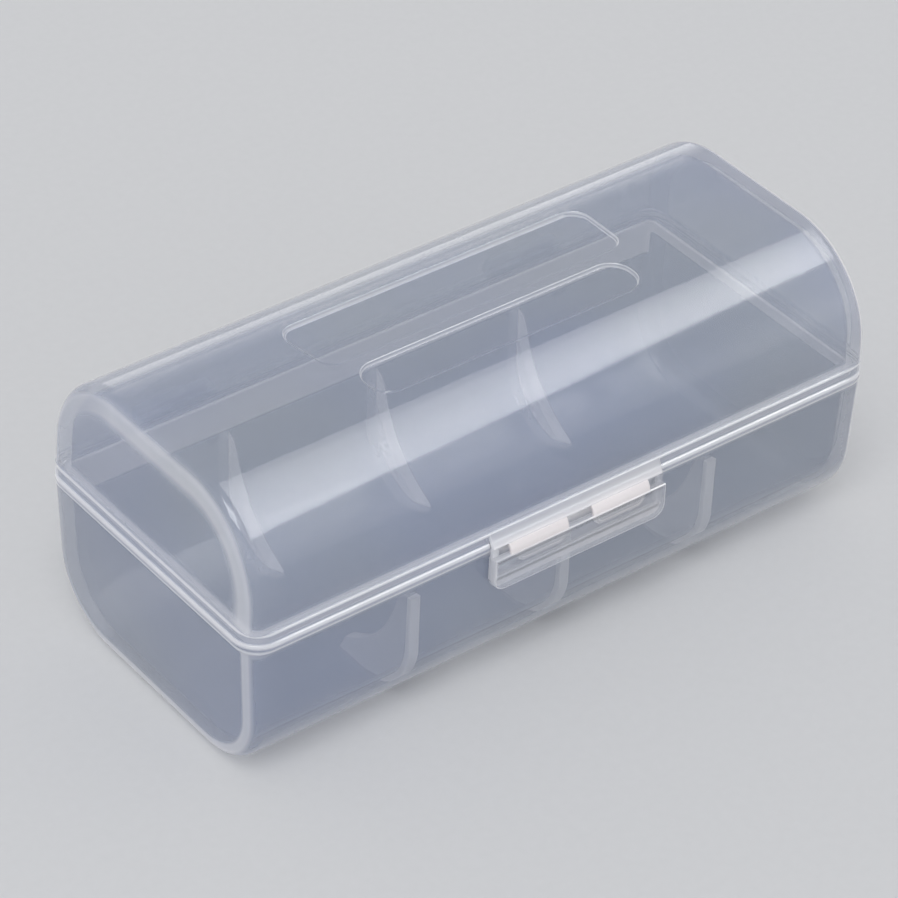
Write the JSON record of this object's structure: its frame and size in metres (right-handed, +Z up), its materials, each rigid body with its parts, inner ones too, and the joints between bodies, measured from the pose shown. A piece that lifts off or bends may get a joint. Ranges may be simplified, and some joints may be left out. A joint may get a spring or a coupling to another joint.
{
  "type": "battery storage case",
  "caption": "Translucent moulded case for a large round cell, with a domed hinged lid, cradle ribs inside and a snap latch on film straps",
  "frame": {"origin": "centre of the flat underside", "axes": "+X along the case, -Y towards the latch, +Z up"},
  "size_m": [0.077, 0.0386, 0.0319],
  "materials": {
    "polypropylene_milky": "milky translucent polypropylene with a fine satin surface",
    "polypropylene_stressed": "polypropylene turned white and nearly opaque where it has been flexed"
  },
  "bodies": {
    "base": {"base_shell": "polypropylene_milky", "hinge_pin_left": "polypropylene_milky", "hinge_pin_right": "polypropylene_milky"},
    "lid": {"lid_shell": "polypropylene_milky", "latch_strap_left": "polypropylene_stressed", "latch_strap_right": "polypropylene_stressed"},
    "latch": {"latch_tab": "polypropylene_milky"}
  },
  "joints": [
    {"name": "lid_hinge", "type": "hinge", "parent": "base", "child": "lid", "pos_m": [0, 0.0189, 0.01735], "axis": [-1, 0, 0], "range_deg": [0, 180]},
    {"name": "latch_hinge", "type": "hinge", "parent": "lid", "child": "latch", "pos_m": [0, -0.0181, 0.0168], "axis": [-1, 0, 0], "range_deg": [0, 120]}
  ]
}
